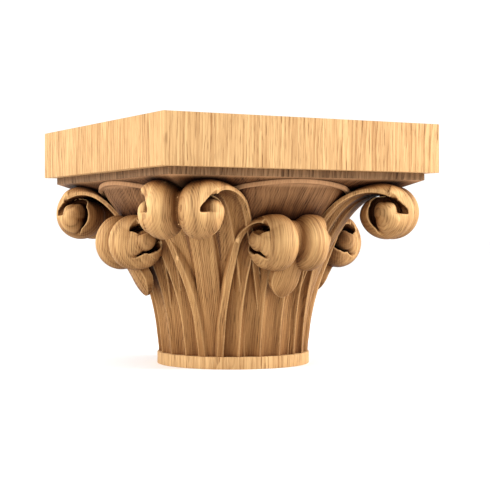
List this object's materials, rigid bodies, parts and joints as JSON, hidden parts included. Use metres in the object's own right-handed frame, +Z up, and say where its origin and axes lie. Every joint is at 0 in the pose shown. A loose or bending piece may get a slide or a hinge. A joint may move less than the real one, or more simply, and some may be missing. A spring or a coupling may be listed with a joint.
{
  "type": "corinthian capital",
  "caption": "Carved oak column capital: square abacus on a flaring bell wrapped by curling scroll-ended leaves, with a plain ring at the neck.",
  "frame": {"origin": "centre of the round neck's flat underside", "axes": "+Z up along the column's axis; the sides of the square abacus face +X, -X, +Y and -Y"},
  "size_m": [0.25, 0.25, 0.2],
  "materials": {
    "oak": "bare sanded oak with a dull sheen"
  },
  "bodies": {
    "root": {"capital": "oak"}
  },
  "joints": []
}
